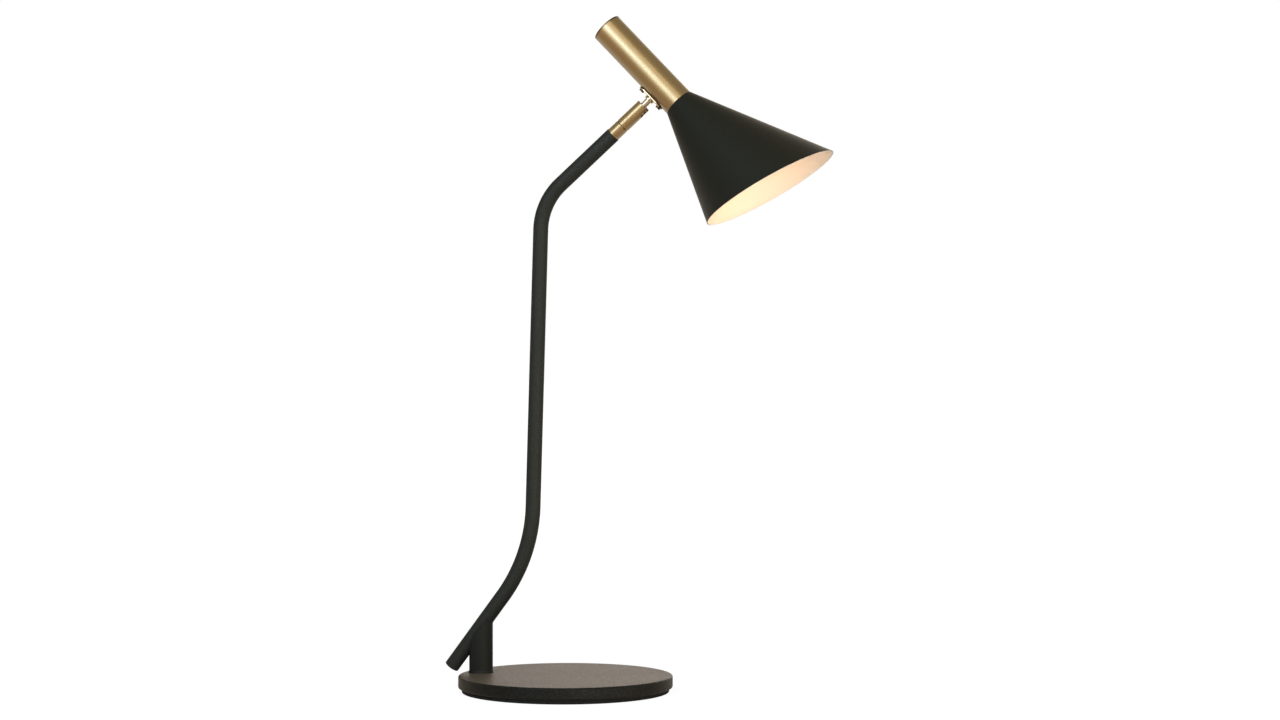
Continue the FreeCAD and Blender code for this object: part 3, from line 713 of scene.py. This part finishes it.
def cone_rows(head, depths, shares, lifts=0.0):
    """Rings on the shade's wall. A ring lies at a depth under the outer face, at a share of the way from
    the neck to the mouth, and lifted on by a length. The side is r = waist + taper place. The mouth's
    plane is place = mouth - r cos t slant, so the two meet at r = (waist + taper mouth) / (1 + taper
    slant cos t)."""
    depth, share, lift = (np.reshape(values, (-1, 1)) for values in (depths, shares, lifts))
    t = even_turns(AROUND_SHADE)
    taper = math.tan(head.half_angle)
    slant = math.tan(head.mouth_angle)
    mouth = head.tube + head.mouth_run
    waist = head.diameter / 2 - head.tube * taper - depth / math.cos(head.half_angle)
    rim = (waist + taper * mouth) / (1 + taper * slant * np.cos(t))
    rim_place = mouth - rim * np.cos(t) * slant
    start = head.tube + depth
    place = start + (rim_place - start) * share + lift
    radius = waist + taper * place
    return np.stack([radius * np.cos(t), radius * np.sin(t), place], -1)


def neck_corners(head, depth):
    """The neck at a depth under its outer face, from the cone up the tube to the flange's hole."""
    bore = head.diameter / 2 - head.wall - head.fit - depth
    top = head.tube - head.sleeve + depth
    return np.array([(bore, head.tube + depth), (bore, top), (head.hole, top)])


def shade_shell(head):
    """The black outer sheet, from its flange inside the tube to the mouth and back up its inner face."""
    half = head.shade_wall / 2
    shares = np.linspace(0, 1, SHADE_STEPS)
    neck = softened(neck_corners(head, 0.0)[::-1], [0, head.neck_bend, 0])
    back = neck_corners(head, half)
    outside = cone_rows(head, 0.0, shares)
    inside = cone_rows(head, half, shares[::-1])
    local = np.concatenate([turned(neck, AROUND_SHADE), outside, inside, turned(back, AROUND_SHADE)])
    return placed(local, head_place())


def shade_lining(head):
    """The white inner face. It covers the sheet's edge in a half round and ends at the flange's hole."""
    wall = head.shade_wall
    shares = np.linspace(0, 1, SHADE_STEPS)
    neck = turned(neck_corners(head, wall / 2)[::-1], AROUND_SHADE)
    outside = cone_rows(head, wall / 2, shares)
    t = np.linspace(0, math.pi, LIP_STEPS)
    lip = cone_rows(head, wall - head.lip - head.lip * np.cos(t), 1.0, head.lip * np.sin(t))
    inside = cone_rows(head, wall, shares[::-1])
    back = turned(neck_corners(head, wall), AROUND_SHADE)
    return placed(np.concatenate([neck, outside, lip, inside, back]), head_place())


def threaded(low, high, outer, wall, pitch, depth):
    """A rolled thread in thin metal: radius = outer - depth (1 - cos(t - 2 pi h / pitch)) / 2, on both
    faces of the wall. The thread fades out over a turn at each end."""
    height = np.linspace(low, high, int((high - low) / pitch * TURN_STEPS))[:, None]
    t = even_turns(AROUND)[None, :]
    fade = np.clip(np.minimum(height - low, high - height) / pitch, 0, 1)
    radius = outer - depth * fade * (1 - np.cos(t - 2 * math.pi * height / pitch)) / 2
    radius = np.concatenate([radius, (radius - wall)[::-1]])
    height = np.concatenate([height, height[::-1]]) + 0 * t
    return np.stack([radius * np.cos(t), radius * np.sin(t), height], -1)


def globe_outline(bulb):
    """The bulb's glass: a straight neck, a flank that leaves the shoulder and meets the globe as its
    tangent, the globe, and the same line one wall further in."""
    rim = bulb.cap_place + bulb.cap_length
    radius = bulb.diameter / 2
    centre = bulb.tip_place + bulb.length - radius
    shoulder_place = rim + bulb.shoulder_length

    def line(inset):
        neck = bulb.cap_diameter / 2 - bulb.cap_wall - bulb.neck_gap - inset
        shoulder = bulb.shoulder_diameter / 2 - inset
        side = radius - inset
        run = centre - shoulder_place
        touch = math.asin(side / math.hypot(run, shoulder)) - math.atan2(shoulder, run)
        turn = np.linspace(-touch, math.pi / 2, GLOBE_STEPS)
        globe = np.stack([side * np.cos(turn), centre + side * np.sin(turn)], -1)
        corners = [(neck, rim - bulb.neck_length), (neck, rim), (shoulder, shoulder_place), globe[0]]
        flank = softened(corners, [0, bulb.neck_bend, bulb.shoulder_bend, 0])
        return np.concatenate([flank[:-1], globe])

    return np.concatenate([line(0.0), line(bulb.wall)[::-1]])


# Operators


class LAMP_OT_base(bpy.types.Operator):
    """Finish the base, its pad, the post and the fixings under them"""

    bl_idname = "lamp.base"
    bl_label = "Base and post"

    def execute(self, context):
        tints = context.scene.lamp_colours
        base = powder_coat("base_paint_finish", tints.base, grain=mm(1.2), depth=mm(0.12), rough=0.5,
                           spread=0.6, specular=0.18, sheen=0.12)
        # The post's darker tint is painted shade on the arm's paint
        post = powder_coat("post_paint_finish", tints.post, grain=mm(0.7), depth=mm(0.04), rough=0.6,
                           spread=0.25, specular=0.2)
        dress(base, "base_disc")
        dress(post, "post")
        dress(pad_finish(tints.rubber), "base_pad")
        dress(satin_metal("zinc_finish", tints.steel, None, rough=0.34), "post_bolt", "post_washer")
        return {"FINISHED"}


class LAMP_OT_arm(bpy.types.Operator):
    """Build the bent arm's tube and the painted weld, and finish the bush and the insert in its ends"""

    bl_idname = "lamp.arm"
    bl_label = "Arm"

    def execute(self, context):
        arm = context.scene.lamp_arm
        tints = context.scene.lamp_colours
        paint = powder_coat("arm_paint_finish", tints.arm, grain=mm(0.8), depth=mm(0.04), rough=0.6,
                            spread=0.2)
        piece("arm", arm_grid(arm), "stand", paint, ["arm_tube"])
        piece("post_weld", bead_grid(arm), "stand", paint)
        dress(moulded("bush_finish", tints.dark_plastic, rough=0.5), "arm_end_bush")
        dress(satin_metal("insert_finish", tints.steel, collar_place(), rough=0.36), "arm_insert")
        return {"FINISHED"}


class LAMP_OT_swivel(bpy.types.Operator):
    """Finish the brass ferrule and collar, the ball's stem, its seat and spring, and the saddle plate"""

    bl_idname = "lamp.swivel"
    bl_label = "Swivel"

    def execute(self, context):
        arm = context.scene.lamp_arm
        head = context.scene.lamp_head
        tints = context.scene.lamp_colours
        place = collar_place()
        # Radii under which the collar's slot and the saddle plate's cut edge take painted shade
        slot_shade_radius = arm.diameter / 2 - arm.slot_shade_depth
        edge = head.diameter / 2 + head.plate_shade_height
        nickel = satin_metal("nickel_finish", tints.nickel, place, rough=0.12, depth=mm(0.001), drift=0.04)
        steel = satin_metal("spring_steel_finish", tints.steel, place, rough=0.3)
        seat = satin_metal("seat_finish", tints.contact, place, rough=0.32)
        plate = satin_metal("plate_finish", tints.plate, head_place(), rough=0.22, shaded_under=edge)
        slotted = lacquered_brass("slotted_collar_finish", place, rough=0.36, shaded_under=slot_shade_radius)
        dress(lacquered_brass("ferrule_brass_finish", place, rough=0.36), "arm_ferrule")
        dress(slotted, "swivel_collar")
        dress(seat, "ball_seat", "spring_retainer")
        dress(steel, "turn_stop_pin", "collar_snap_ring", "ball_spring", "stem_nut")
        dress(satin_metal("screw_finish", tints.screws, place, rough=0.3), "saddle_screws")
        dress(nickel, "swivel_ball", "stem_ring")
        dress(plate, "saddle_plate")
        return {"FINISHED"}


class LAMP_OT_tube(bpy.types.Operator):
    """Finish the brass head tube and its end cap"""

    bl_idname = "lamp.tube"
    bl_label = "Head tube"

    def execute(self, context):
        cap = context.scene.lamp_colours.cap
        dress(lacquered_brass("tube_brass_finish", head_place(), rough=0.37), "head_tube")
        dress(satin_metal("tube_cap_finish", cap, head_place(), rough=0.3), "tube_cap")
        return {"FINISHED"}


class LAMP_OT_shade(bpy.types.Operator):
    """Build the conical shade: its black sheet and the white face inside it"""

    bl_idname = "lamp.shade"
    bl_label = "Shade"

    def execute(self, context):
        head = context.scene.lamp_head
        tints = context.scene.lamp_colours
        paint = powder_coat("shade_paint_finish", tints.shade, grain=mm(0.4), depth=mm(0.008), rough=0.52,
                            spread=0.15, specular=0.12, sheen=0.25)
        piece("shade_sheet", shade_shell(head), "head", paint, ["shade"])
        piece("shade_lining", shade_lining(head), "head", enamel(tints.lining))
        return {"FINISHED"}


class LAMP_OT_lampholder(bpy.types.Operator):
    """Finish the lampholder and its bracket, and build the socket's threaded shell"""

    bl_idname = "lamp.lampholder"
    bl_label = "Lampholder"

    def execute(self, context):
        bulb = context.scene.lamp_bulb
        tints = context.scene.lamp_colours
        place = head_place()
        holder = moulded("holder_finish", tints.dark_plastic, rough=0.38)
        bracket = satin_metal("bracket_finish", tints.steel, place, rough=0.36)
        contact = satin_metal("contact_finish", tints.contact, place, rough=0.26, depth=mm(0.002))
        dress(holder, "lampholder_cap", "lampholder_skirt")
        dress(bracket, "holder_bracket", "holder_nipple", "nipple_nut")
        dress(contact, "socket_contact")
        outer = bulb.cap_diameter / 2 + bulb.socket_gap + bulb.socket_wall
        shell = threaded(bulb.socket_floor, bulb.socket_floor + bulb.socket_length, outer,
                         bulb.socket_wall / 2, bulb.thread_pitch, bulb.thread_depth / 2)
        piece("socket_thread", placed(shell, place), "head", contact, ["socket_shell"])
        return {"FINISHED"}


class LAMP_OT_bulb(bpy.types.Operator):
    """Build the bulb's opal globe and threaded cap, and finish its insulator and tip"""

    bl_idname = "lamp.bulb"
    bl_label = "Bulb"

    def execute(self, context):
        bulb = context.scene.lamp_bulb
        tints = context.scene.lamp_colours
        place = head_place()
        rim = bulb.cap_place + bulb.cap_length
        metal = satin_metal("bulb_cap_finish", tints.nickel, place, rough=0.24, depth=mm(0.002))
        cap = threaded(bulb.cap_place, rim, bulb.cap_diameter / 2, bulb.cap_wall, bulb.thread_pitch,
                       bulb.thread_depth)
        piece("bulb_thread", placed(cap, place), "head", metal, ["bulb_cap"])
        glass = opal(tints.glass, tints.glow, place, rim, rim + bulb.shoulder_length * 3)
        globe = placed(turned(globe_outline(bulb)), place)
        made = piece("bulb_globe", globe, "head", glass, ["bulb_glass"])
        # The bulb's light stands inside the glass, which would hold it back
        made.visible_shadow = False
        dress(moulded("insulator_finish", tints.pale_plastic, rough=0.3), "bulb_contact")
        return {"FINISHED"}


class LAMP_OT_stage(bpy.types.Operator):
    """Build the white floor, the soft studio lights, the bulb's light and the camera"""

    bl_idname = "lamp.stage"
    bl_label = "Stage"

    def execute(self, context):
        make_world(context.scene)
        make_floor(context.scene)
        make_lights(context.scene)
        make_camera(context.scene)
        context.scene.view_settings.view_transform = "Standard"
        return {"FINISHED"}


def make_world(scene):
    """A white backdrop, and a dimmer soft light from everywhere. The camera and glass see white all
    round. Metal sees nearly white behind the lamp, where the ray's Y share is large, and elsewhere a dim
    warm room."""
    stage = scene.lamp_stage
    scene.world = bpy.data.worlds.new("studio")
    finish = Finish(scene.world)
    glossy = finish.ray("Is Glossy Ray")
    way = finish.node("ShaderNodeTexCoord", output="Generated")
    behind = finish.remap(finish.part(way, "Y"), *BACKDROP_SPAN)
    level = stage.fill + glossy * (behind * stage.backdrop + stage.room)
    level = level.at_least(finish.ray("Is Camera Ray")).at_least(finish.ray("Is Transmission Ray"))
    tint = finish.between((1.0 - glossy).at_least(behind), stage.room_tint, WHITE)
    sky = finish.node("ShaderNodeBackground", sockets={"Color": tint, "Strength": level})
    finish.node("ShaderNodeOutputWorld", sockets={"Surface": sky})


def make_floor(scene):
    """A flat white floor. The camera sees a white glow with a share of plain matte white, which keeps the
    lamp's shadow and lessens with the distance from the lamp. From below the floor is clear, so that the
    underside can be seen. Metal sees it dim and warm in front of the lamp, where the studio is dark, and
    pale behind it."""
    stage = scene.lamp_stage
    finish = new_finish("floor_finish")
    here = finish.object_space()
    seen = finish.ray("Is Camera Ray")
    below = finish.node("ShaderNodeNewGeometry", output="Backfacing")
    white = finish.between(finish.noise(here, FLOOR_PATCH), scaled(WHITE, 0.72), scaled(WHITE, 0.75))
    matte = finish.node("ShaderNodeBsdfDiffuse", sockets={"Color": white})
    bright = finish.glowing(WHITE, stage.floor_glow)
    front = finish.glowing(stage.front_tint, stage.front)
    rear = finish.glowing(stage.rear_tint, stage.rear)
    reach = finish.reach(here)
    glow = finish.remap(reach, stage.near_reach, stage.far_reach, stage.near_share, stage.far_share)
    behind = finish.remap(finish.part(here, "Y"), stage.front_end, stage.rear_start)
    plain = finish.mixed(seen * glow, matte, bright)
    whole = finish.mixed(finish.ray("Is Glossy Ray"), plain, finish.mixed(behind, front, rear))
    clear = finish.node("ShaderNodeBsdfTransparent")
    mesh = bpy.data.meshes.new("floor")
    half = stage.floor_size
    low = -stage.floor_drop
    corners = [(-half, -half, low), (half, -half, low), (half, half, low), (-half, half, low)]
    mesh.from_pydata(corners, [], [(0, 1, 2, 3)])
    mesh.materials.append(finish.ended(finish.mixed(seen * below, whole, clear)))
    floor = bpy.data.objects.new("floor", mesh)
    scene.collection.objects.link(floor)


def new_light(scene, name, kind, watts, tint):
    """A light that doesn't show itself to the camera."""
    data = bpy.data.lights.new(name, kind)
    data.energy = watts
    data.color = tint
    light = bpy.data.objects.new(name, data)
    light.visible_camera = False
    scene.collection.objects.link(light)
    return light


def studio_light(scene, name, turn, rise, sides, watts, tint):
    """A soft light that faces the lamp from a turn round it and a rise above it, in degrees."""
    stage = scene.lamp_stage
    turn = math.radians(turn)
    rise = math.radians(rise)
    away = Vector((math.sin(turn) * math.cos(rise), -math.cos(turn) * math.cos(rise), math.sin(rise)))
    aim = Vector((stage.light_aim, 0.0, stage.light_aim_height))
    light = new_light(scene, name, "AREA", watts, tint)
    light.data.shape = "RECTANGLE"
    light.data.size, light.data.size_y = sides
    light.location = aim + away * stage.light_distance
    light.rotation_euler = away.to_track_quat("Z", "Y").to_euler()


def glow_light(scene, name, along, watts, radius):
    """A small warm light on the head's axis, which moves with the head."""
    light = new_light(scene, name, "POINT", watts, scene.lamp_colours.bulb_light)
    light.data.shadow_soft_size = radius
    light.location = Vector(placed(np.array([0.0, 0.0, along]), head_place()).tolist())
    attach(light, "head")


def make_lights(scene):
    """The studio's lights, and the bulb's two: one in the globe, and a weaker one at the mouth, which
    lights the shade's far rim."""
    cool = srgb(186, 224, 255)
    pale = srgb(226, 240, 255)
    warm = srgb(255, 246, 230)
    amber = srgb(255, 226, 204)
    studio_light(scene, "key_light", turn=-16, rise=26, sides=(0.7, 0.7), watts=10.5, tint=cool)
    studio_light(scene, "soft_light", turn=-13, rise=23, sides=(1.6, 1.6), watts=18.0, tint=pale)
    studio_light(scene, "front_light", turn=36, rise=6, sides=(1.0, 1.2), watts=23.0, tint=warm)
    studio_light(scene, "right_light", turn=74, rise=-2, sides=(0.8, 0.8), watts=12.0, tint=warm)
    studio_light(scene, "left_light", turn=-34, rise=8, sides=(0.8, 1.0), watts=0.8, tint=WHITE)
    studio_light(scene, "top_light", turn=8, rise=50, sides=(1.2, 1.0), watts=5.0, tint=warm)
    studio_light(scene, "back_light", turn=186, rise=12, sides=(1.4, 0.8), watts=5.0, tint=amber)
    bulb = scene.lamp_bulb
    head = scene.lamp_head
    globe = bulb.tip_place + bulb.length - bulb.diameter / 4
    glow_light(scene, "bulb_light", globe, watts=0.066, radius=mm(15))
    glow_light(scene, "spill_light", head.tube + head.mouth_run, watts=0.031, radius=mm(10))


def make_camera(scene):
    """A level camera at the photograph's angle."""
    stage = scene.lamp_stage
    turn = stage.camera_angle
    back = Vector((math.sin(turn), -math.cos(turn), 0))
    data = bpy.data.cameras.new("camera")
    data.lens = stage.lens
    data.sensor_width = 36.0
    data.clip_end = 100.0
    camera = bpy.data.objects.new("camera", data)
    camera.location = Vector((stage.camera_aim, 0, stage.camera_height)) + back * stage.camera_distance
    camera.rotation_euler = Euler((math.pi / 2, 0, turn))
    scene.collection.objects.link(camera)
    scene.camera = camera


class LAMP_PT_build(bpy.types.Panel):
    """Lists the lamp's pieces in the order in which they are built"""

    bl_idname = "LAMP_PT_build"
    bl_label = "Table lamp"
    bl_space_type = "VIEW_3D"
    bl_region_type = "UI"
    bl_category = "Lamp"

    def draw(self, context):
        for operator in OPERATORS:
            self.layout.operator(operator.bl_idname)


GROUPS = {
    "lamp_arm": ArmSizes,
    "lamp_head": HeadSizes,
    "lamp_bulb": BulbSizes,
    "lamp_colours": LampColours,
    "lamp_stage": StageSettings,
}
OPERATORS = [
    LAMP_OT_base, LAMP_OT_arm, LAMP_OT_swivel, LAMP_OT_tube, LAMP_OT_shade, LAMP_OT_lampholder,
    LAMP_OT_bulb, LAMP_OT_stage,
]


def register():
    for name, group in GROUPS.items():
        bpy.utils.register_class(group)
        setattr(bpy.types.Scene, name, PointerProperty(type=group))
    for entry in OPERATORS + [LAMP_PT_build]:
        bpy.utils.register_class(entry)


def unregister():
    for entry in [LAMP_PT_build] + OPERATORS[::-1]:
        bpy.utils.unregister_class(entry)
    for name, group in GROUPS.items():
        delattr(bpy.types.Scene, name)
        bpy.utils.unregister_class(group)


def main():
    register()
    lamp = bpy.ops.lamp
    for step in (lamp.base, lamp.arm, lamp.swivel, lamp.tube, lamp.shade, lamp.lampholder, lamp.bulb,
                 lamp.stage):
        step()


if __name__ == "__main__":
    main()
